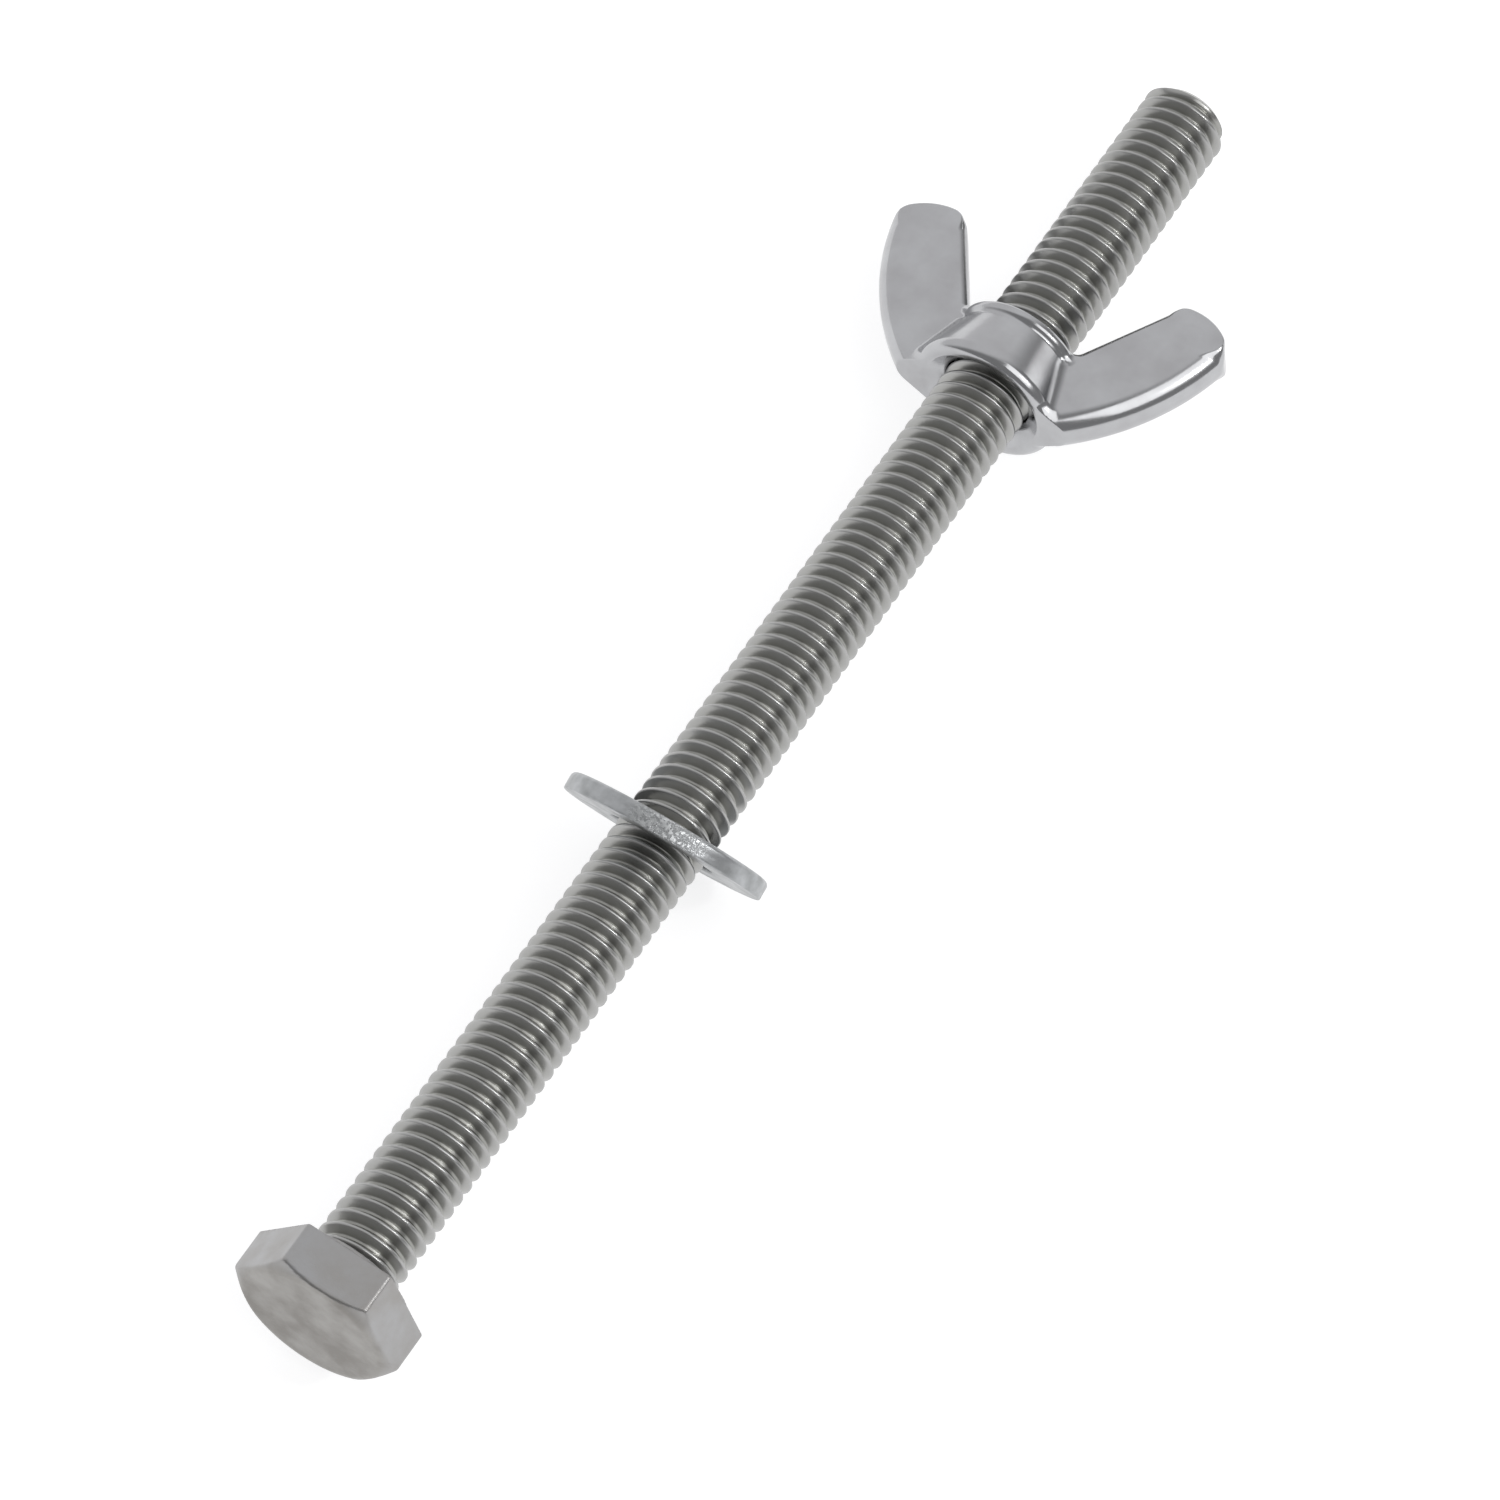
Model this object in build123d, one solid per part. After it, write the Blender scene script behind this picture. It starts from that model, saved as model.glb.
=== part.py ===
from build123d import *
import os
from math import radians, tan

# M6 stainless set screw carrying a flat washer and a cast wing nut, lying on its side.
# Millimetres. +Y runs along the screw from head to tip, +Z is up as it lies on the washer's rim
# and the nut, and the origin is the centre of the head's bearing face. Clocks are turns about +Y.
# One STEP is written for each separate piece.

# screw
pitch = 1.0                 # M6 coarse
thread_major = 5.88         # crest diameter, within the 6g band of 5.79 to 5.97
screw_length = 99.2         # from bearing face to tip, nominal 100
crest_start = 0.914         # middle of the first full crest, from the bearing face
tip_chamfer = 0.62          # the tip is this much smaller in radius than the crests
head_across_flats = 9.9
head_across_corners = 11.34  # the corners are rounded by the cold heading
head_height = 3.7           # with the washer face
washer_face_height = 0.4
washer_face_diameter = 9.0
washer_face_draft = 0.12
head_chamfer_angle = 30.0
head_top_diameter = 9.5     # circle that the chamfer leaves on the top
head_clock = 6.3            # from two flats level

# washer, loose on the thread and leaning
washer_outer = 13.7
washer_hole = 7.1
washer_thickness = 1.2
washer_die_roll = 0.35      # rounding of the rim on the side where the punch went in
washer_burr_side = 0.1      # the other side is nearly sharp
washer_place = 35.6         # from the bearing face to the washer's middle
washer_tilt = 24.0          # its tip-side face turns to look up

# wing nut
nut_place = 72.9            # from the bearing face to the nut's base
nut_clock = -9.2            # from the wings level
bore_clearance = 0.06       # radial, between the screw's crests and the bore
base_sink_diameter = 8.3
base_sink_depth = 0.9
top_sink_diameter = 6.6
base_diameter = 10.3        # where the cone meets the base, before rounding
base_rounding = 0.8
boss_height = 5.1
neck_diameter = 7.9         # just under the rolled rim
rim_diameter = 8.3
rim_height = 0.8
rim_rounding = 0.35
rim_undercut = 0.2          # height of the hollow under the rim

# wing outline, as (radius, height above the nut's base)
wing_thickness = 3.0
wing_root = (2.0, 0.0)
wing_foot = (6.1, 0.0)
wing_outer_middle = (9.7, 3.9)
wing_outer_end = (12.1, 9.2)
wing_tip_outer = (12.0, 10.2)
wing_tip_middle = (10.3, 11.45)
wing_tip_inner = (7.8, 11.65)
wing_inner_foot = (3.6, 4.9)
wing_outer_corner = 1.0
wing_inner_corner = 0.7
wing_outer_round = 1.2      # rounding of the thick outer edge
wing_inner_round = 0.8
touching = 0.001            # closer than this counts as the same place


def named(solid, node):
    solid.label = node
    return solid


def turned(profile):
    """A solid turned about the Y axis from (radius, height) points."""
    return revolve(Polygon(*profile, align=None), axis=Axis.Y)


def thread_profile():
    """Half section of the shank, with a 60 degree ridge to each pitch and a chamfered tip."""
    crest_half = pitch / 16
    root_half = pitch / 8
    flank = pitch / 2 - crest_half - root_half
    crest_r = thread_major / 2
    root_r = crest_r - flank / tan(radians(30))
    tip_r = crest_r - tip_chamfer
    first_root = crest_start - crest_half - flank
    ridge_count = int((screw_length - first_root) / pitch)
    points = [(0, -washer_face_height), (root_r, -washer_face_height), (root_r, first_root)]
    for index in range(ridge_count):
        middle = crest_start + index * pitch
        points.append((crest_r, middle - crest_half))
        points.append((crest_r, middle + crest_half))
        points.append((root_r, middle + crest_half + flank))
        points.append((root_r, middle + crest_half + flank + 2 * root_half))
    points.append((tip_r, screw_length))
    points.append((0, screw_length))
    return points


def hex_block():
    """Hexagon with rounded corners."""
    hexagon = RegularPolygon(head_across_flats / 2, side_count=6, major_radius=False)
    outline = hexagon & Circle(head_across_corners / 2)
    block = extrude(Plane.XZ * outline, amount=head_height - washer_face_height)
    return Pos(0, -washer_face_height, 0) * Rot(0, head_clock, 0) * block


def hex_bolt():
    top_r = head_top_diameter / 2
    spread = head_across_corners / 2
    chamfer_drop = spread * tan(radians(head_chamfer_angle))
    chamfer = turned([
        (0, -head_height),
        (top_r, -head_height),
        (top_r + spread, -head_height + chamfer_drop),
        (top_r + spread, 0),
        (0, 0),
    ])
    face_r = washer_face_diameter / 2
    washer_face = turned([
        (0, -washer_face_height),
        (face_r, -washer_face_height),
        (face_r - washer_face_draft, 0),
        (0, 0),
    ])
    head = (hex_block() & chamfer) + washer_face
    return named(head + turned(thread_profile()), "hex_bolt")


def outer_rim(solid, height):
    """The widest circular edge of a turned solid at this height along Y."""
    circles = solid.edges().filter_by(GeomType.CIRCLE)
    level = [circle for circle in circles if abs(circle.arc_center.Y - height) < touching]
    return max(level, key=lambda circle: circle.radius)


def flat_washer():
    standing = (90, 0, 0)
    ring = Cylinder(washer_outer / 2, washer_thickness, rotation=standing)
    ring = ring - Cylinder(washer_hole / 2, 2 * washer_thickness, rotation=standing)
    ring = fillet(outer_rim(ring, washer_thickness / 2), washer_die_roll)
    ring = fillet(outer_rim(ring, -washer_thickness / 2), washer_burr_side)
    return named(Pos(0, washer_place, 0) * Rot(washer_tilt, 0, 0) * ring, "flat_washer")


def edges_at(solid, place, heights):
    """The edges of a wing plate that pass over a point of its outline at these heights."""
    marks = [Vertex(place[0], place[1], height) for height in heights]
    return [edge for edge in solid.edges() if min(edge.distance_to(mark) for mark in marks) < touching]


def wing():
    """One wing towards +X: a thick plate with rounded edges and a flat-cut tip."""
    inner_root = (wing_root[0], wing_inner_foot[1])
    with BuildSketch() as sketch:
        with BuildLine():
            Line(wing_root, wing_foot)
            ThreePointArc(wing_foot, wing_outer_middle, wing_outer_end)
            Line(wing_outer_end, wing_tip_outer)
            ThreePointArc(wing_tip_outer, wing_tip_middle, wing_tip_inner)
            Line(wing_tip_inner, wing_inner_foot)
            Line(wing_inner_foot, inner_root)
            Line(inner_root, wing_root)
        make_face()
    plate = extrude(sketch.sketch, amount=wing_thickness / 2, both=True)
    inner_middle = (
        (wing_tip_inner[0] + wing_inner_foot[0]) / 2,
        (wing_tip_inner[1] + wing_inner_foot[1]) / 2,
    )
    across = [0]
    faces = [-wing_thickness / 2, wing_thickness / 2]
    plate = fillet(edges_at(plate, wing_tip_outer, across), wing_outer_corner)
    plate = fillet(edges_at(plate, wing_tip_inner, across), wing_inner_corner)
    plate = fillet(edges_at(plate, wing_outer_middle, faces), wing_outer_round)
    return fillet(edges_at(plate, inner_middle, faces), wing_inner_round)


def boss():
    """The nut's conical body, with a rounded base and a rolled rim at the top."""
    base_r = base_diameter / 2
    rim_r = rim_diameter / 2
    body = turned([
        (0, 0),
        (base_r, 0),
        (neck_diameter / 2, boss_height - rim_height - rim_undercut),
        (rim_r, boss_height - rim_height),
        (rim_r, boss_height),
        (0, boss_height),
    ])
    body = fillet(outer_rim(body, 0), base_rounding)
    return fillet(outer_rim(body, boss_height), rim_rounding)


def bore():
    """The threaded hole at its crest size, countersunk at both ends."""
    bore_r = thread_major / 2 + bore_clearance
    base_r = base_sink_diameter / 2
    top_r = top_sink_diameter / 2
    return turned([
        (0, -1),
        (base_r, -1),
        (base_r, 0),
        (bore_r, base_sink_depth),
        (bore_r, boss_height - (top_r - bore_r)),
        (top_r, boss_height),
        (top_r, boss_height + 1),
        (0, boss_height + 1),
    ])


def wing_nut():
    plate = wing()
    body = boss() + plate + Rot(0, 180, 0) * plate - bore()
    return named(Pos(0, nut_place, 0) * Rot(0, nut_clock, 0) * body, "wing_nut")


os.makedirs("parts", exist_ok=True)
for piece in (hex_bolt(), flat_washer(), wing_nut()):
    export_step(piece, os.path.join("parts", piece.label + ".step"))
    print(piece.label, round(piece.volume, 2), piece.bounding_box())
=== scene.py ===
import math

import bmesh
import bpy
import numpy as np
from mathutils import Matrix, Vector


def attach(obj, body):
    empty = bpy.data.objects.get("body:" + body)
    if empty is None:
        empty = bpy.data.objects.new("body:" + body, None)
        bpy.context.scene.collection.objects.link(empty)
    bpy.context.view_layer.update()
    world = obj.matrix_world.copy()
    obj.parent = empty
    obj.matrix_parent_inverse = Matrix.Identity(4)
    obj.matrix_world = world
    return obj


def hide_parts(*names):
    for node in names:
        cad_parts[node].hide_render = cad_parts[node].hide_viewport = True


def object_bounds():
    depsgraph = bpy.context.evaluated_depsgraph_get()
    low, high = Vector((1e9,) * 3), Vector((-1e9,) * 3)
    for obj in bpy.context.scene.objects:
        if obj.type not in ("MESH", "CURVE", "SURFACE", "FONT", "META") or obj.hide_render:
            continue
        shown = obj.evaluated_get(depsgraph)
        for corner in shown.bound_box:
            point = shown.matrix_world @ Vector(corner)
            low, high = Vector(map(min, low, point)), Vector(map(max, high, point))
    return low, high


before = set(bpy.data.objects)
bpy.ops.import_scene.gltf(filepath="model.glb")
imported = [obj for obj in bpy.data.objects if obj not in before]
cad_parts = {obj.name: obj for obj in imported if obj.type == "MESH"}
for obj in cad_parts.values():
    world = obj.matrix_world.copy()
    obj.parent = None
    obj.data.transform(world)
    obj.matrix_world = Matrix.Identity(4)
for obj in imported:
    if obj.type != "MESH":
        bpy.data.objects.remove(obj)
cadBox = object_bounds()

mm = 0.001
fullTurn = 2 * math.pi
probe = 0.002               # mm, the step that measures a distance field's slope
pullRounds = 4              # how often a point is pulled towards the surface
leastSlope = 0.2            # keeps a point from jumping where the field is nearly level


def roundMax(a, b, radius):
    # both solids kept where they overlap, with their edge rounded to this radius
    corner = np.hypot(np.maximum(a + radius, 0), np.maximum(b + radius, 0))
    return np.minimum(-radius, np.maximum(a, b)) + corner


def roundMin(a, b, radius):
    # the two solids joined, with a fillet of this radius in the corner between them
    corner = np.hypot(np.maximum(radius - a, 0), np.maximum(radius - b, 0))
    return np.maximum(radius, np.minimum(a, b)) - corner


def smoothStep(low, high, value):
    t = np.clip((value - low) / (high - low), 0, 1)
    return t * t * (3 - 2 * t)


def arcThrough(first, second, third):
    # centre and radius of the circle through three points of an outline
    (ax, ay), (bx, by), (cx, cy) = first, second, third
    bend = 2 * (ax * (by - cy) + bx * (cy - ay) + cx * (ay - by))
    a2, b2, c2 = ax * ax + ay * ay, bx * bx + by * by, cx * cx + cy * cy
    x = (a2 * (by - cy) + b2 * (cy - ay) + c2 * (ay - by)) / bend
    y = (a2 * (cx - bx) + b2 * (ax - cx) + c2 * (bx - ax)) / bend
    return x, y, math.hypot(ax - x, ay - y)


def pullOntoSurface(points, distance, reach):
    # moves each point along the slope of the distance field until it lies on the surface
    for _ in range(pullRounds):
        height = distance(points)
        slope = slopeOf(points, distance)
        steep = np.maximum((slope ** 2).sum(1), leastSlope)
        step = np.clip(height / steep, -reach, reach)
        points = points - slope * step[:, None]
    return points


def slopeOf(points, distance):
    # how fast the distance grows along x, y and z
    columns = []
    for axis in range(3):
        ahead = points.copy()
        behind = points.copy()
        ahead[:, axis] += probe
        behind[:, axis] -= probe
        columns.append((distance(ahead) - distance(behind)) / (2 * probe))
    return np.stack(columns, axis=1)


def surfaceNet(distance, low, high, step):
    # one vertex for each grid cell that the surface passes through, and one quad for each grid edge
    axes = [np.arange(a, b + step, step) for a, b in zip(low, high)]
    grid = np.stack(np.meshgrid(*axes, indexing="ij"), axis=-1)
    shape = grid.shape[:3]
    values = distance(grid.reshape(-1, 3)).reshape(shape)
    inside = values < 0
    cells = tuple(n - 1 for n in shape)
    count = np.zeros(cells, int)
    for i, j, k in np.ndindex(2, 2, 2):
        count += inside[i:i + cells[0], j:j + cells[1], k:k + cells[2]]
    crossed = (count > 0) & (count < 8)
    index = np.full(cells, -1)
    index[crossed] = np.arange(crossed.sum())
    corner = np.argwhere(crossed)
    middle = np.array([a[0] for a in axes]) + (corner + 0.5) * step
    quads = []
    for axis in range(3):
        u, v = [a for a in range(3) if a != axis]
        near = np.take(inside, range(shape[axis] - 1), axis)
        far = np.take(inside, range(1, shape[axis]), axis)
        for enters in (True, False):
            edge = np.argwhere((near & ~far) if enters else (~near & far))
            edge = edge[(edge[:, u] > 0) & (edge[:, v] > 0)]
            ring = []
            for du, dv in ((1, 1), (0, 1), (0, 0), (1, 0)):
                cell = edge.copy()
                cell[:, u] -= du
                cell[:, v] -= dv
                ring.append(index[cell[:, 0], cell[:, 1], cell[:, 2]])
            quad = np.stack(ring, axis=1)
            flip = enters == (axis == 1)
            quads.append(quad[:, ::-1] if flip else quad)
    return pullOntoSurface(middle, distance, step), np.concatenate(quads)


def meshPiece(name, points, faces, place, materials, faceMaterials=None):
    # an object from points in millimetres, moved to its place in the frame
    mesh = bpy.data.meshes.new(name)
    mesh.from_pydata((points * mm).tolist(), [], [tuple(int(i) for i in face) for face in faces])
    mesh.transform(place)
    for material in materials:
        mesh.materials.append(material)
    if faceMaterials is not None:
        mesh.polygons.foreach_set("material_index", faceMaterials)
    mesh.polygons.foreach_set("use_smooth", [True] * len(mesh.polygons))
    mesh.validate()
    mesh.update()
    piece = bpy.data.objects.new(name, mesh)
    bpy.context.scene.collection.objects.link(piece)
    return piece


def arcPoints(centre, radius, fromAngle, toAngle, count):
    # angles in degrees
    angles = np.radians(np.linspace(fromAngle, toAngle, count))
    return [(centre[0] + radius * math.cos(a), centre[1] + radius * math.sin(a)) for a in angles]


def hexColour(text):
    # an sRGB colour as the linear channels that shaders work in
    channels = [int(text[i:i + 2], 16) / 255 for i in (1, 3, 5)]
    linear = [c / 12.92 if c <= 0.04045 else ((c + 0.055) / 1.055) ** 2.4 for c in channels]
    return (*linear, 1)


def addNode(tree, kind, settings=None, links=None):
    # settings are the node's own properties or its sockets' values
    # links say which other node's socket feeds each of its sockets
    node = tree.nodes.new(kind)
    for key, value in (settings or {}).items():
        if isinstance(key, str) and hasattr(node, key):
            setattr(node, key, value)
        else:
            node.inputs[key].default_value = value
    for key, socket in (links or {}).items():
        tree.links.new(socket, node.inputs[key])
    return node


def newMaterial(name):
    # a material with nothing but its Principled shader
    material = bpy.data.materials.new(name)
    material.use_nodes = True
    tree = material.node_tree
    tree.nodes.clear()
    output = tree.nodes.new("ShaderNodeOutputMaterial")
    shader = tree.nodes.new("ShaderNodeBsdfPrincipled")
    tree.links.new(shader.outputs["BSDF"], output.inputs["Surface"])
    return material, tree, shader


def millimetres(tree):
    # the piece's own coordinates in millimetres, so that a pattern's scale is 1 over its real size
    place = addNode(tree, "ShaderNodeTexCoord")
    return addNode(tree, "ShaderNodeVectorMath", {"operation": "SCALE", "Scale": 1 / mm},
                   {0: place.outputs["Object"]})


def grain(tree, points, size, detail=3.0, roughness=0.55, stretch=(1, 1, 1)):
    # soft noise whose patches are about this many millimetres across
    drawn = addNode(tree, "ShaderNodeVectorMath", {"operation": "MULTIPLY", 1: [1 / s for s in stretch]},
                    {0: points})
    return addNode(tree, "ShaderNodeTexNoise",
                   {"Scale": 1 / size, "Detail": detail, "Roughness": roughness},
                   {"Vector": drawn.outputs["Vector"]}).outputs["Fac"]


def spread(tree, value, low, high, fromLow, fromHigh):
    # a value between low and high taken over to another range
    return addNode(tree, "ShaderNodeMapRange",
                   {"From Min": low, "From Max": high, "To Min": fromLow, "To Max": fromHigh},
                   {"Value": value}).outputs["Result"]


def mixColour(tree, factor, first, second):
    # each colour is a hex text or another node's socket
    node = addNode(tree, "ShaderNodeMix", {"data_type": "RGBA"}, {0: factor})
    for place, colour in ((6, first), (7, second)):
        if isinstance(colour, str):
            node.inputs[place].default_value = hexColour(colour)
        else:
            tree.links.new(colour, node.inputs[place])
    return node.outputs[2]


def bumpFrom(tree, height, depth, strength=1.0, normal=None):
    # height from 0 to 1 stands for this depth in millimetres
    links = {"Height": height}
    if normal is not None:
        links["Normal"] = normal
    return addNode(tree, "ShaderNodeBump", {"Strength": strength, "Distance": depth * mm},
                   links).outputs["Normal"]


# between these values of the noise, a finish goes from its dull patches to its bright ones
colourContrast = (0.35, 0.65)
glossContrast = (0.3, 0.7)


def patchyFinish(tree, points, look, size):
    # colour and roughness that drift together over patches of this size
    patches = grain(tree, points, size, detail=4)
    rubbed = spread(tree, patches, *colourContrast, 0, 1)
    colour = mixColour(tree, rubbed, look["dull"], look["bright"])
    smooth, rough = look["roughness"]
    return rubbed, colour, spread(tree, patches, *glossContrast, rough, smooth)


def bareMetal(tree, shader, colour, roughness, normal):
    shader.inputs["Metallic"].default_value = 1
    for socket, value in (("Base Color", colour), ("Roughness", roughness), ("Normal", normal)):
        tree.links.new(value, shader.inputs[socket])


# rolled stainless thread: lighter on the crests as painted highlight, and darker down in the roots as painted
# shade
rolledThread = {
    "crest": "#acacab",
    "rootPaintedShade": "#999995",
    "crestRoughness": 0.3,
    "rootRoughness": 0.28,
    "dieMarks": 0.12,       # mm between the marks the dies leave along the flanks
    "markStretch": 4,       # the marks are this much longer round the screw than across it
    "markDepth": 0.004,
    "patches": 2.2,         # mm, random patches that shift the painted crest highlight and root shade
    "unevenness": 0.5,      # how far a patch can pass for a place nearer the crest or the root
}

# cold-headed stainless, tumbled: a soft satin grey with faint dull patches and small nicks
headedSteel = {
    "bright": "#a9a9aa",
    "dull": "#a19f9d",
    "roughness": (0.36, 0.44),      # of the bright patches and of the dull ones
    "patches": 2.6,         # mm
    "tumbling": 0.16,       # mm, the texture the tumbling leaves
    "tumblingDepth": 0.006,
    "nicks": 0.9,           # mm between nicks
    "nickSize": (0.04, 0.12),       # from the bottom of a nick to its edge, as a share of that
    "nickStrength": 0.6,
    "shadedTop": "#9d9b98",    # the top face, painted darker and a little warm as painted shade
    "shadedTopDull": "#878480",
    "shadedTopFrom": (-3.3, -3.66),    # mm along the screw, where the tumbled sides give way to it
}

# blanked stainless sheet: satin faces with a fine rolled grain, dull patches, and one painted highlight on
# the rim
blankedSheet = {
    "bright": "#b1b3b5",
    "dull": "#999b9c",
    "roughness": (0.3, 0.44),
    "grainAcross": 0.1,     # mm, drawn coarser than it is, so that it shows
    "grainAlong": 3.0,
    "grainDepth": 0.004,
    "patches": 1.4,         # mm
    "highlightPlace": (1.4, 32.6, 6.0),     # mm in the frame, on the rim, the middle of the painted highlight
    "highlightReach": (1.0, 2.9),           # mm from there, from full painted highlight to none
    "highlightGrain": 0.22,
    "highlightEdges": (0.42, 0.55),         # values of the grain over which the painted highlight fades out at its ragged edge
    "highlightBumpDepth": 0.05,
    # the colour of the painted highlight
    "paintedHighlight": "#d2d4d5",
}

# cast and polished stainless: bright and glossy, with slow waves from the wheel and fine scratches
polishedCasting = {
    "bright": "#babbbd",
    "dull": "#afafb1",
    "roughness": (0.12, 0.24),
    "waves": 3.5,           # mm across
    "waveDepth": 0.03,
    "scratchAcross": 0.07,  # mm, drawn coarser than they are, so that they show
    "scratchAlong": 1.6,
    "scratchDepth": 0.0015,
}


def rolledThreadSteel():
    look = rolledThread
    material, tree, shader = newMaterial("rolledStainlessThread")
    points = millimetres(tree).outputs["Vector"]
    axes = addNode(tree, "ShaderNodeSeparateXYZ", links={0: points})
    flat = addNode(tree, "ShaderNodeCombineXYZ", links={"X": axes.outputs["X"], "Y": axes.outputs["Z"]})
    radius = addNode(tree, "ShaderNodeVectorMath", {"operation": "LENGTH"}, {0: flat.outputs["Vector"]})
    height = spread(tree, radius.outputs["Value"], screw["rootRadius"], screw["crestRadius"], 0, 1)
    patches = grain(tree, points, look["patches"])
    uneven = addNode(tree, "ShaderNodeMath",
                     {"operation": "MULTIPLY_ADD", 1: look["unevenness"], 2: -look["unevenness"] / 2},
                     {0: patches})
    crestLightRootShade = addNode(tree, "ShaderNodeMath", {"operation": "ADD", "use_clamp": True},
                   {0: height, 1: uneven.outputs["Value"]}).outputs["Value"]
    # painted highlight on the crests and painted shade in the roots, shifted by random patches
    colour = mixColour(tree, crestLightRootShade, look["rootPaintedShade"], look["crest"])
    roughness = spread(tree, crestLightRootShade, 0, 1, look["rootRoughness"], look["crestRoughness"])
    marks = grain(tree, points, look["dieMarks"], stretch=(look["markStretch"], 1, look["markStretch"]))
    bareMetal(tree, shader, colour, roughness, bumpFrom(tree, marks, look["markDepth"]))
    return material


def headedStainless():
    look = headedSteel
    material, tree, shader = newMaterial("headedStainless")
    points = millimetres(tree).outputs["Vector"]
    rubbed, tumbled, roughness = patchyFinish(tree, points, look, look["patches"])
    # the top face is painted darker and a little warm, as painted shade
    shadedTopColour = mixColour(tree, rubbed, look["shadedTopDull"], look["shadedTop"])
    along = addNode(tree, "ShaderNodeSeparateXYZ", links={0: points}).outputs["Y"]
    colour = mixColour(tree, spread(tree, along, *look["shadedTopFrom"], 0, 1), tumbled, shadedTopColour)
    fine = grain(tree, points, look["tumbling"], detail=2)
    nicks = addNode(tree, "ShaderNodeTexVoronoi", {"Scale": 1 / look["nicks"]}, {"Vector": points})
    pits = spread(tree, nicks.outputs["Distance"], *look["nickSize"], 0, 1)
    normal = bumpFrom(tree, fine, look["tumblingDepth"])
    normal = bumpFrom(tree, pits, look["tumblingDepth"], look["nickStrength"], normal)
    bareMetal(tree, shader, colour, roughness, normal)
    return material


def blankedStainless():
    look = blankedSheet
    material, tree, shader = newMaterial("blankedStainlessSheet")
    points = millimetres(tree).outputs["Vector"]
    colour, roughness = patchyFinish(tree, points, look, look["patches"])[1:]
    # a painted highlight on the rim, broken up by a coarse grain and slightly bumped
    away = addNode(tree, "ShaderNodeVectorMath", {"operation": "DISTANCE", 1: look["highlightPlace"]},
                   {0: points})
    nearHighlight = spread(tree, away.outputs["Value"], *look["highlightReach"], 1, 0)
    highlightBreakup = grain(tree, points, look["highlightGrain"], detail=3, roughness=0.7)
    tornRimAndHighlight = addNode(tree, "ShaderNodeMath", {"operation": "MULTIPLY"},
                   {0: nearHighlight, 1: spread(tree, highlightBreakup, *look["highlightEdges"], 0, 1)}).outputs["Value"]
    colour = mixColour(tree, tornRimAndHighlight, colour, look["paintedHighlight"])
    along = look["grainAlong"] / look["grainAcross"]
    rolled = grain(tree, points, look["grainAcross"], detail=2, stretch=(along, 1, 1))
    normal = bumpFrom(tree, rolled, look["grainDepth"])
    normal = bumpFrom(tree, tornRimAndHighlight, look["highlightBumpDepth"], normal=normal)
    bareMetal(tree, shader, colour, roughness, normal)
    return material


def polishedStainless():
    look = polishedCasting
    material, tree, shader = newMaterial("polishedStainlessCasting")
    points = millimetres(tree).outputs["Vector"]
    colour, roughness = patchyFinish(tree, points, look, look["waves"])[1:]
    waves = grain(tree, points, look["waves"], detail=1)
    along = look["scratchAlong"] / look["scratchAcross"]
    scratches = grain(tree, points, look["scratchAcross"], detail=2, stretch=(1, along, 1))
    normal = bumpFrom(tree, waves, look["waveDepth"])
    normal = bumpFrom(tree, scratches, look["scratchDepth"], normal=normal)
    bareMetal(tree, shader, colour, roughness, normal)
    return material


# millimetres, in the screw's own frame: Y from the bearing face to the tip
screw = {
    "pitch": 1.0,
    "length": 99.2,
    "crestRadius": 2.94,
    "rootRadius": 2.36,
    "crestClock": 14.5,         # degrees from straight up, where a crest stands at crestPlace
    "crestPlace": 0.914,
    "crestFlat": 0.14,
    "rootFlat": 0.18,
    # places across one ridge, from groove to groove
    "section": (-0.5, -0.45, -0.41, -0.36, -0.12, -0.07, 0.0, 0.07, 0.12, 0.36, 0.41, 0.45),
    "tipRadius": 2.32,
    "tipSlope": 1.1,            # how fast the chamfer at the tip closes in
    "headSlope": 1.4,           # how fast the thread grows out of the head
    "sunk": 0.25,               # how deep the shank's mesh starts inside the head
    "extraTurns": (2, 3),       # made past each end of the shank and then cut off
    "segments": 60,
    "acrossFlats": 9.9,
    "cornerRounding": 0.3,
    "headHeight": 3.7,
    "headTopRadius": 4.75,
    "headChamfer": 30.0,        # degrees
    "edgeRounding": 0.12,
    "washerFaceRadius": 4.44,
    "washerFaceHeight": 0.4,
    "headClock": 6.3,           # degrees, how far a flat is turned from straight up
    "headGrid": 0.14,
    "margin": 0.5,              # searched beyond the head on each side for its surface
}


def threadSection():
    # place along the axis and depth, from 0 at the crest to 1 at the root, of points across one ridge
    offsets = np.array(screw["section"]) * screw["pitch"]
    flank = (screw["pitch"] - screw["crestFlat"] - screw["rootFlat"]) / 2
    depth = np.clip((np.abs(offsets) - screw["crestFlat"] / 2) / flank, 0, 1)
    return offsets, depth


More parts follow.
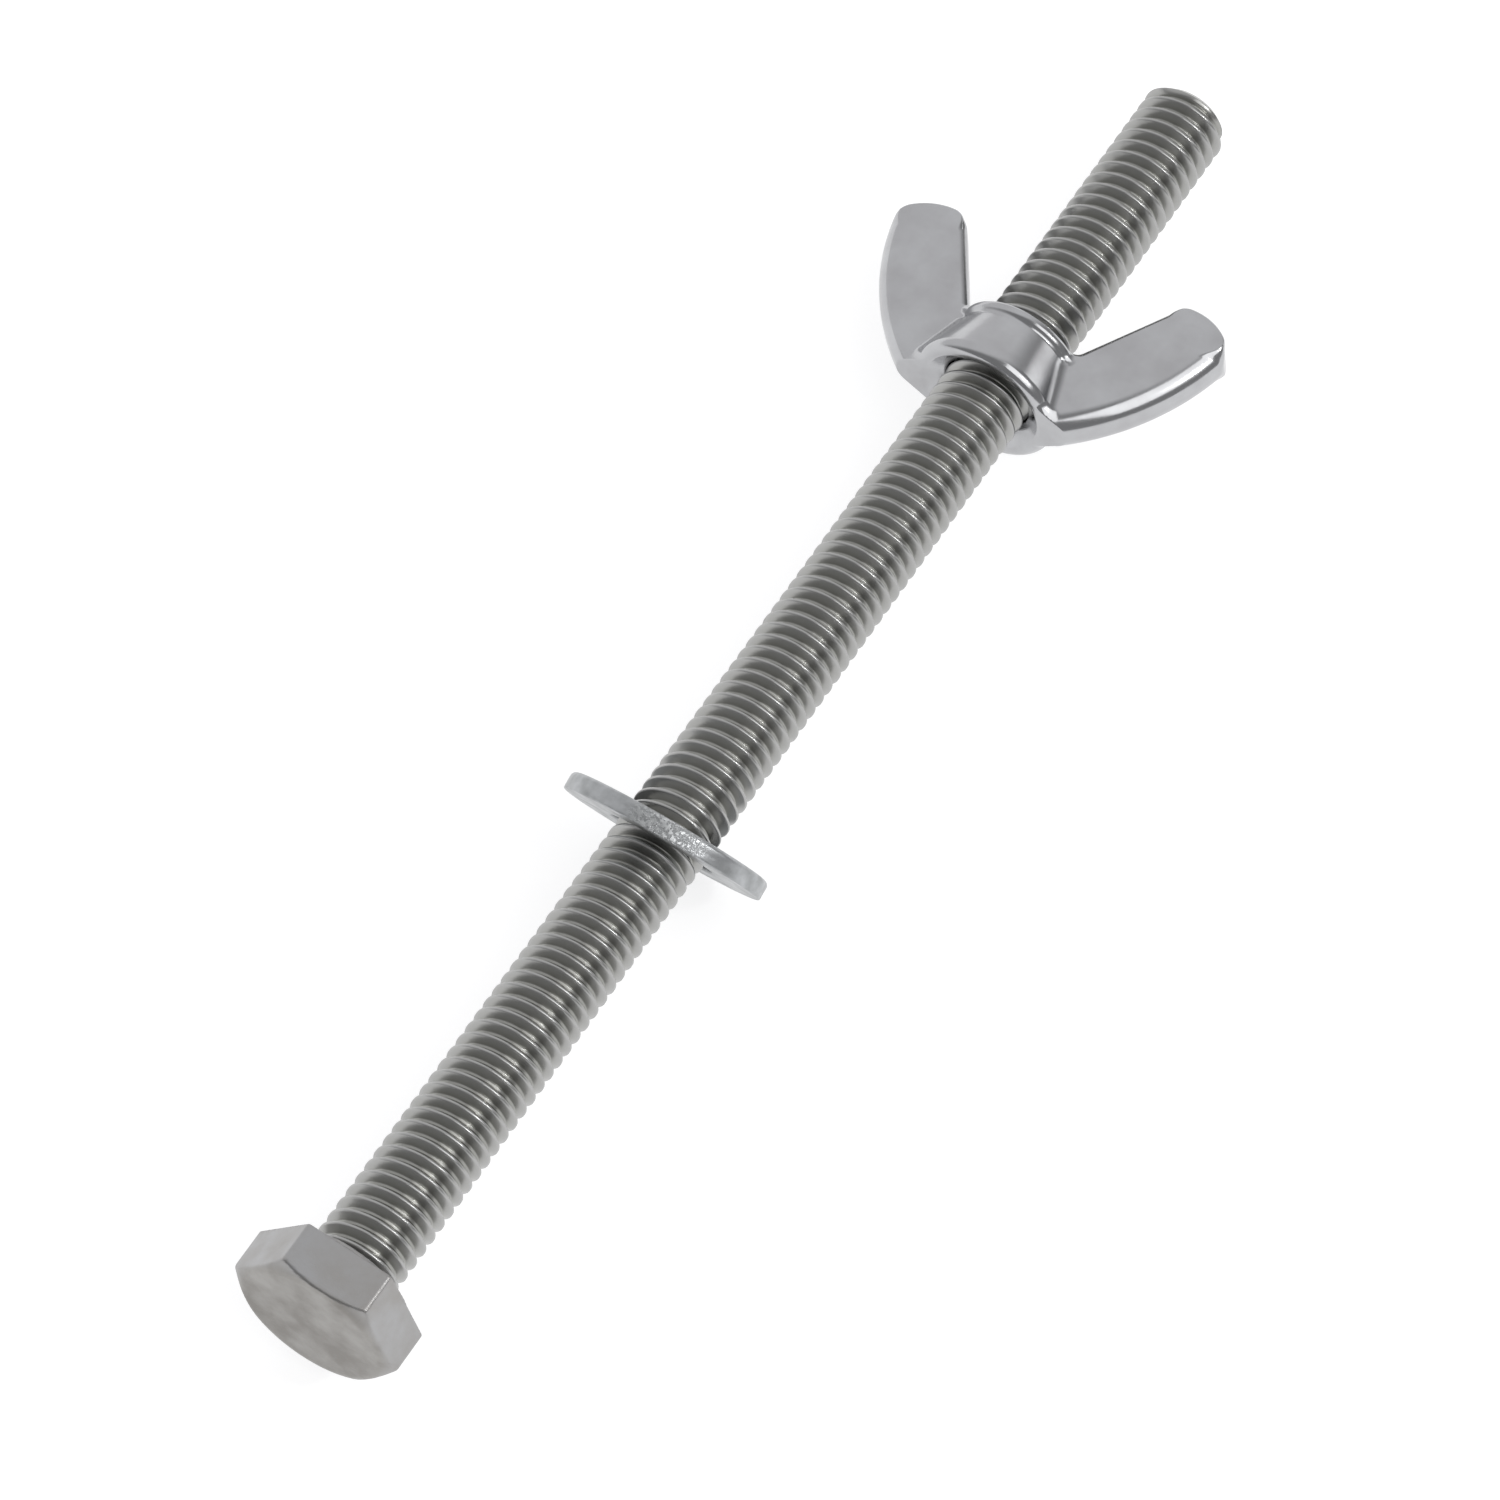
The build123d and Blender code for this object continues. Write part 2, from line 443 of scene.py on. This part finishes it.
def threadMesh():
    # the shank as rows that follow the helix, cut off by the head and by the chamfer at the tip
    offsets, depth = threadSection()
    count, segments = len(offsets), screw["segments"]
    around = np.arange(segments) / segments
    before, after = screw["extraTurns"]
    first = screw["crestPlace"] - (before + screw["crestClock"] / 360) * screw["pitch"]
    turns = int(screw["length"] / screw["pitch"]) + before + after
    rows = []
    for turn in range(turns):
        for offset, deep in zip(offsets, depth):
            along = first + (turn + around) * screw["pitch"] + offset
            along = np.clip(along, -screw["sunk"], screw["length"])
            ridge = screw["crestRadius"] + deep * (screw["rootRadius"] - screw["crestRadius"])
            fromTip = screw["tipRadius"] + (screw["length"] - along) * screw["tipSlope"]
            fromHead = screw["rootRadius"] + np.maximum(along, 0) * screw["headSlope"]
            radius = np.minimum(ridge, np.minimum(fromTip, fromHead))
            angle = around * fullTurn
            rows.append(np.stack([radius * np.sin(angle), along, radius * np.cos(angle)], axis=1))
    points = np.concatenate(rows)
    # the last point of a row meets the first point of the row one turn on
    row, column = np.meshgrid(np.arange(turns * count - count - 1), np.arange(segments), indexing="ij")
    start = (row * segments + column).ravel()
    nextTurn = (row + count) * segments
    turned = np.where(column == segments - 1, nextTurn, row * segments + column + 1).ravel()
    return points, np.stack([start, start + segments, turned + segments, turned], axis=1)


def headDistance(points):
    # the hexagon with rounded corners, its chamfer and its washer face, as a distance field
    x, y, z = points.T
    clock = math.radians(screw["headClock"])
    rounding = screw["cornerRounding"]
    sides = []
    for side in range(3):
        turn = clock + side * math.pi / 3
        sides.append(np.abs(x * math.sin(turn) + z * math.cos(turn)) - screw["acrossFlats"] / 2)
    sides = np.sort(np.array(sides), axis=0)
    # the two nearest sides meet at 120 degrees, so their rounded corner is an arc round a point further in
    a, b = sides[2] + rounding, sides[1] + rounding
    corner = np.sqrt(np.maximum(a * a + b * b - a * b, 0)) / math.sin(math.pi / 3)
    hexagon = np.where((b > a / 2) & (a > 0), corner, a) - rounding
    radius = np.hypot(x, z)
    slope = math.radians(screw["headChamfer"])
    top = -(y + screw["headHeight"])
    cone = (radius - screw["headTopRadius"]) * math.sin(slope) + top * math.cos(slope)
    under = y + screw["washerFaceHeight"]
    small = screw["edgeRounding"]
    block = roundMax(roundMax(hexagon, cone, small), roundMax(top, under, small), small)
    level = roundMax(y, -y - screw["headHeight"] / 2, small)
    ring = roundMax(radius - screw["washerFaceRadius"], level, small)
    return np.minimum(block, ring)


def makeScrew():
    materials = [rolledThreadSteel(), headedStainless()]
    points, faces = threadMesh()
    thread = meshPiece("hexScrew", points, faces, Matrix(), materials)
    closeEnds(thread)
    margin = screw["margin"]
    reach = screw["acrossFlats"] / 2 + 2 * margin
    low = (-reach, -screw["headHeight"] - margin, -reach)
    high = (reach, margin, reach)
    points, faces = surfaceNet(headDistance, low, high, screw["headGrid"])
    head = meshPiece("screwHead", points, faces, Matrix(), materials, np.ones(len(faces), int))
    joinSolids(thread, head)
    bendNormals(thread, headDistance, lambda p: p[:, 1] < -0.001)     # the head alone, below the bearing face
    return thread


def closeEnds(piece):
    # merges the rows that the ends cut off, and closes the two round openings
    bm = bmesh.new()
    bm.from_mesh(piece.data)
    bmesh.ops.remove_doubles(bm, verts=bm.verts, dist=1e-7)
    bmesh.ops.dissolve_degenerate(bm, edges=bm.edges, dist=1e-7)
    bmesh.ops.holes_fill(bm, edges=[edge for edge in bm.edges if edge.is_boundary])
    bmesh.ops.recalc_face_normals(bm, faces=bm.faces)
    bm.to_mesh(piece.data)
    bm.free()


def joinSolids(piece, other):
    # makes one closed mesh of the two and keeps the first object
    modifier = piece.modifiers.new("join", "BOOLEAN")
    modifier.operation = "UNION"
    modifier.solver = "EXACT"
    modifier.object = other
    bpy.context.view_layer.update()
    joined = bpy.data.meshes.new_from_object(piece.evaluated_get(bpy.context.evaluated_depsgraph_get()))
    piece.modifiers.clear()
    old = piece.data
    piece.data = joined
    bpy.data.meshes.remove(old)
    bpy.data.objects.remove(other)


def bendNormals(piece, distance, chosen):
    # takes the shading of the chosen points from the exact surface instead of from the faces around them
    mesh = piece.data
    points = np.empty(len(mesh.vertices) * 3)
    mesh.vertices.foreach_get("co", points)
    points = points.reshape(-1, 3) / mm
    normals = np.empty(len(mesh.vertices) * 3)
    mesh.vertices.foreach_get("normal", normals)
    normals = normals.reshape(-1, 3)
    picked = chosen(points)
    slope = slopeOf(points[picked], distance)
    normals[picked] = slope / np.linalg.norm(slope, axis=1)[:, None]
    mesh.normals_split_custom_set_from_vertices(normals.tolist())


# millimetres; the washer lies across the screw's axis and then leans
washer = {
    "outer": 13.7,
    "hole": 7.1,
    "thickness": 1.2,
    "dieRoll": 0.35,            # rounded rim on the side where the punch went in
    "burrSide": 0.1,
    "holeEdge": 0.12,
    "place": 35.6,
    "tilt": 24.0,               # degrees
    "segments": 240,
    "tornShare": 0.55,          # of the rim's height, on the burr side
    "tornDepth": 0.02,
    "cleanDepth": 0.004,        # the same on the sheared side
    "outOfRound": 0.02,
    "bends": (2, 3, 5, 8, 13),  # how many waves of each size go round the rim
}


def washerSection():
    # (radius, height) points round the section, from the hole's lower edge outwards
    inner, outer, half = washer["hole"] / 2, washer["outer"] / 2, washer["thickness"] / 2
    hole, burr, roll = washer["holeEdge"], washer["burrSide"], washer["dieRoll"]
    faceSteps = np.linspace(0, 1, 9)[1:-1]
    section = arcPoints((inner + hole, -half + hole), hole, 180, 270, 5)
    section += [(inner + hole + t * (outer - burr - inner - hole), -half) for t in faceSteps]
    section += arcPoints((outer - burr, -half + burr), burr, 270, 360, 5)
    section += [(outer, -half + burr + t * (2 * half - burr - roll)) for t in faceSteps]
    section += arcPoints((outer - roll, half - roll), roll, 0, 90, 9)
    section += [(outer - roll - t * (outer - roll - inner - hole), half) for t in faceSteps]
    section += arcPoints((inner + hole, half - hole), hole, 90, 180, 5)
    section += [(inner, half - hole - t * (2 * half - 2 * hole)) for t in faceSteps[::2]]
    return np.array(section)


def makeWasher():
    # the section turned round the washer's own axis, with a torn rim that is slightly out of round
    chance = np.random.default_rng(11)
    section = washerSection()
    segments, half = washer["segments"], washer["thickness"] / 2
    angle = np.arange(segments) / segments * fullTurn
    waves = sum(math.cos(k * 2.1) * np.cos(k * angle + k * k) / k for k in washer["bends"])
    rows = []
    for radius, height in section:
        radii = np.full(segments, radius)
        if radius > washer["outer"] / 2 - washer["burrSide"]:
            tornRimAndHighlight = height < half * (2 * washer["tornShare"] - 1)
            rough = washer["tornDepth"] if tornRimAndHighlight else washer["cleanDepth"]
            radii = radii - rough * chance.random(segments)
        if radius > washer["hole"] / 2 + washer["holeEdge"]:
            radii = radii - washer["outOfRound"] * (0.5 + waves / 4)
        level = np.full(segments, height)
        rows.append(np.stack([radii * np.sin(angle), level, radii * np.cos(angle)], axis=1))
    count = len(section)
    row, column = np.meshgrid(np.arange(count), np.arange(segments), indexing="ij")
    start, below = row * segments, (row + 1) % count * segments
    beside = (column + 1) % segments
    faces = np.stack([start + column, start + beside, below + beside, below + column], axis=-1).reshape(-1, 4)
    lean = Matrix.Rotation(math.radians(washer["tilt"]), 4, "X")
    place = Matrix.Translation((0, washer["place"] * mm, 0)) @ lean
    return meshPiece("flatWasher", np.concatenate(rows), faces, place, [blankedStainless()])


# millimetres, with heights from the nut's base and wings along X
nut = {
    "place": 72.9,
    "clock": -9.2,              # degrees, how far the wings are turned from lying flat
    "baseRadius": 5.15,
    "baseRounding": 0.85,
    "height": 5.1,
    "neckRadius": 3.95,
    "neckHeight": 4.1,
    "topStep": 0.2,             # from the rim's top down to the cone's
    "topRounding": 0.1,
    "rimRadius": 4.15,
    "rimHeight": 0.8,
    "rimRounding": 0.38,
    "rimUnderside": 0.342,      # rounding below the rim
    "rimFillet": 0.2,
    "boreRadius": 3.0,
    "baseSinkRadius": 4.15,
    "baseSinkDepth": 0.9,
    "topSinkRadius": 3.3,
    "sinkRounding": 0.12,
    "baseEdge": 0.05,
    "wingThickness": 3.0,
    "outerEdge": ((6.1, 0.0), (9.7, 3.9), (12.07, 9.2)),
    "tipEdge": ((11.98, 10.2), (10.3, 11.45), (7.8, 11.65)),
    "innerEdge": ((7.8, 11.65), (3.6, 4.9)),
    "outerRounding": 1.35,      # of the thick outer edge
    "innerRounding": 0.8,
    "tipRounding": 0.2,
    "tipBlend": (-0.9, 0.4),    # from the tip's chord, where the rounding turns sharp
    "innerBlend": (-1.5, 1.5),  # across the wing, where the outer rounding gives way to the inner
    "outerCorner": 1.0,
    "innerCorner": 0.7,
    "fillet": 0.7,              # where the wings grow out of the boss
    "span": 25.0,               # the room searched for the surface, a little more than the nut fills
    "tall": 11.8,
    "margin": 0.3,
    "grid": 0.1,
}


def bossDistance(radius, height):
    # a cone with a rounded foot, and a rolled rim round its top
    run = nut["baseRadius"] - nut["neckRadius"]
    slant = math.hypot(run, nut["neckHeight"])
    cone = ((radius - nut["baseRadius"]) * nut["neckHeight"] + height * run) / slant
    cone = roundMax(cone, -height, nut["baseRounding"])
    cone = roundMax(cone, height - nut["height"] + nut["topStep"], nut["topRounding"])
    rim = roundMax(radius - nut["rimRadius"], height - nut["height"], nut["rimRounding"])
    rim = roundMax(rim, nut["height"] - nut["rimHeight"] - height, nut["rimUnderside"])
    return roundMin(cone, rim, nut["rimFillet"])


def wingDistance(x, y, z):
    # a plate inside three edges: the outer arc, the tip arc and the straight inner edge
    outerX, outerY, outerR = arcThrough(*nut["outerEdge"])
    tipX, tipY, tipR = arcThrough(*nut["tipEdge"])
    outer = np.hypot(x - outerX, y - outerY) - outerR
    (endX, endY), (startX, startY) = nut["tipEdge"][0], nut["tipEdge"][2]
    span = math.hypot(endX - startX, endY - startY)
    chord = ((x - startX) * (startY - endY) + (y - startY) * (endX - startX)) / span
    tip = np.minimum(np.hypot(x - tipX, y - tipY) - tipR, chord)    # the arc stands on its chord
    (topX, topY), (footX, footY) = nut["innerEdge"]
    length = math.hypot(topX - footX, topY - footY)
    inner = ((footX - x) * (topY - footY) + (y - footY) * (topX - footX)) / length
    outline = roundMax(roundMax(outer, tip, nut["outerCorner"]), inner, nut["innerCorner"])
    # the rounding across the thickness goes from the full outer edge to the sharper cut tip
    toTip = smoothStep(*nut["tipBlend"], chord - np.maximum(outer, inner))
    toInner = smoothStep(*nut["innerBlend"], inner - outer)
    rounding = nut["outerRounding"] + toInner * (nut["innerRounding"] - nut["outerRounding"])
    rounding = rounding + toTip * (nut["tipRounding"] - rounding)
    wing = roundMax(outline, np.abs(z) - nut["wingThickness"] / 2, rounding)
    return np.maximum(wing, -y)


def boreDistance(radius, height):
    # the hole with a countersink at each end
    wide, depth = nut["baseSinkRadius"] - nut["boreRadius"], nut["baseSinkDepth"]
    lower = ((radius - nut["baseSinkRadius"]) * depth + height * wide) / math.hypot(wide, depth)
    upper = (radius - nut["topSinkRadius"] + nut["height"] - height) / math.sqrt(2)
    upper = np.maximum(upper, radius - nut["topSinkRadius"] - nut["sinkRounding"])
    return np.minimum(radius - nut["boreRadius"], np.minimum(lower, upper))


def nutDistance(points):
    x, y, z = points.T
    radius = np.hypot(x, z)
    solid = roundMin(bossDistance(radius, y), wingDistance(np.abs(x), y, z), nut["fillet"])
    solid = roundMax(solid, -y, nut["baseEdge"])
    return roundMax(solid, -boreDistance(radius, y), nut["sinkRounding"])


def makeNut():
    halfSpan, halfDepth = nut["span"] / 2, nut["baseRadius"] + nut["margin"]
    low = (-halfSpan, -nut["margin"], -halfDepth)
    high = (halfSpan, nut["tall"] + nut["margin"], halfDepth)
    points, faces = surfaceNet(nutDistance, low, high, nut["grid"])
    piece = meshPiece("wingNut", points, faces, Matrix(), [polishedStainless()])
    bendNormals(piece, nutDistance, lambda p: np.ones(len(p), bool))
    clock = Matrix.Rotation(math.radians(nut["clock"]), 4, "Y")
    piece.data.transform(Matrix.Translation((0, nut["place"] * mm, 0)) @ clock)
    return piece


studio = {
    "sheet": "#a9a9a8",
    "sheetRoughness": 0.6,
    "sheetRipple": 3.0,         # mm
    "rippleDepth": 0.01,
    "sheetGlow": 0.8,           # lit from below as well, which takes the shadows away
    "sheetReach": 1.2,          # metres
    "wall": "#fbfbfc",
    "wallDark": 0.31,
    "wallBright": 0.86,
    "brightSide": (145, 25),    # azimuth and elevation of the lighter side of the room, in degrees
    "turnsDark": (0.3, 0.65),   # cosine of the angle from there, over which the room darkens
}

# each light's azimuth and elevation in degrees, its distance, width and height in metres, and how
# bright its surface is, so that a light can change size and look as bright in the metal
# the small lamp gives the run of glints along the thread
softLights = {
    "overheadSoftbox": (0, 54, 0.9, 0.9, 0.75, 1.45),
    "keyLamp": (10, 43, 0.8, 0.08, 0.08, 45),
    "lowSoftbox": (62, 8, 0.9, 0.22, 0.25, 1.1),
}

view = {
    "aim": (1.106, 43.503, 0.0),    # millimetres in the part's frame, beside the middle of the screw
    "azimuth": -64.09,
    "elevation": 59.38,
    "roll": 6.467,
    "distance": 489.7,
    "lens": 193.3,
}


def awayFrom(aim, azimuth, elevation, distance):
    # the place at this distance from the aim, with both angles in degrees
    a, e = math.radians(azimuth), math.radians(elevation)
    return aim + distance * Vector((math.cos(e) * math.cos(a), math.cos(e) * math.sin(a), math.sin(e)))


def facing(place, aim, roll=0.0):
    # for a light or a camera that stands at the place and looks at the aim
    turn = (aim - place).to_track_quat("-Z", "Y").to_matrix().to_4x4()
    return Matrix.Translation(place) @ turn @ Matrix.Rotation(math.radians(roll), 4, "Z")


def makeFloor():
    # opal acrylic sheet, extruded: even and milky, with a faint ripple
    material, tree, shader = newMaterial("opalAcrylicSheet")
    shader.inputs["Base Color"].default_value = hexColour(studio["sheet"])
    shader.inputs["Roughness"].default_value = studio["sheetRoughness"]
    shader.inputs["Emission Color"].default_value = hexColour(studio["wall"])
    shader.inputs["Emission Strength"].default_value = studio["sheetGlow"]
    ripple = grain(tree, millimetres(tree).outputs["Vector"], studio["sheetRipple"])
    tree.links.new(bumpFrom(tree, ripple, studio["rippleDepth"]), shader.inputs["Normal"])
    reach, level = studio["sheetReach"], cadBox[0][2]
    mesh = bpy.data.meshes.new("lightTable")
    corners = [(x * reach, y * reach, level) for x, y in ((-1, -1), (1, -1), (1, 1), (-1, 1))]
    mesh.from_pydata(corners, [], [(0, 1, 2, 3)])
    mesh.materials.append(material)
    floor = bpy.data.objects.new("lightTable", mesh)
    bpy.context.scene.collection.objects.link(floor)


def makeRoom():
    # pale walls, lighter on one side, all round the table
    world = bpy.data.worlds.new("studioRoom")
    bpy.context.scene.world = world
    world.use_nodes = True
    tree = world.node_tree
    background = tree.nodes["Background"]
    background.inputs["Color"].default_value = hexColour(studio["wall"])
    direction = addNode(tree, "ShaderNodeTexCoord")
    side = awayFrom(Vector(), *studio["brightSide"], 1)
    towards = addNode(tree, "ShaderNodeVectorMath", {"operation": "DOT_PRODUCT", 1: side},
                      {0: direction.outputs["Generated"]})
    glow = spread(tree, towards.outputs["Value"], *studio["turnsDark"],
                  studio["wallDark"], studio["wallBright"])
    tree.links.new(glow, background.inputs["Strength"])


def makeLights():
    aim = Vector(view["aim"]) * mm
    for name, (azimuth, elevation, distance, width, height, brightness) in softLights.items():
        lamp = bpy.data.lights.new(name, "AREA")
        lamp.shape = "RECTANGLE"
        lamp.size, lamp.size_y = width, height
        lamp.energy = brightness * math.pi * width * height
        lampObject = bpy.data.objects.new(name, lamp)
        place = awayFrom(aim, azimuth, elevation, distance)
        lampObject.matrix_world = facing(place, aim)
        bpy.context.scene.collection.objects.link(lampObject)


def makeCamera():
    camera = bpy.data.cameras.new("camera")
    camera.lens = view["lens"]
    aim = Vector(view["aim"]) * mm
    place = awayFrom(aim, view["azimuth"], view["elevation"], view["distance"] * mm)
    cameraObject = bpy.data.objects.new("camera", camera)
    cameraObject.matrix_world = facing(place, aim, view["roll"])
    bpy.context.scene.collection.objects.link(cameraObject)
    bpy.context.scene.camera = cameraObject
    bpy.context.scene.view_settings.view_transform = "Standard"


pieces = {
    "hex_bolt": (makeScrew, "screw", "screw_steel"),
    "flat_washer": (makeWasher, "washer", "washer_steel"),
    "wing_nut": (makeNut, "nut", "nut_steel"),
}

for node, (make, body, slotName) in pieces.items():
    piece = make()
    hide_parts(node)
    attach(piece, body)
    print(piece.name, "made with", len(piece.data.polygons), "faces")

makeFloor()
makeRoom()
makeLights()
makeCamera()
print("studio ready")
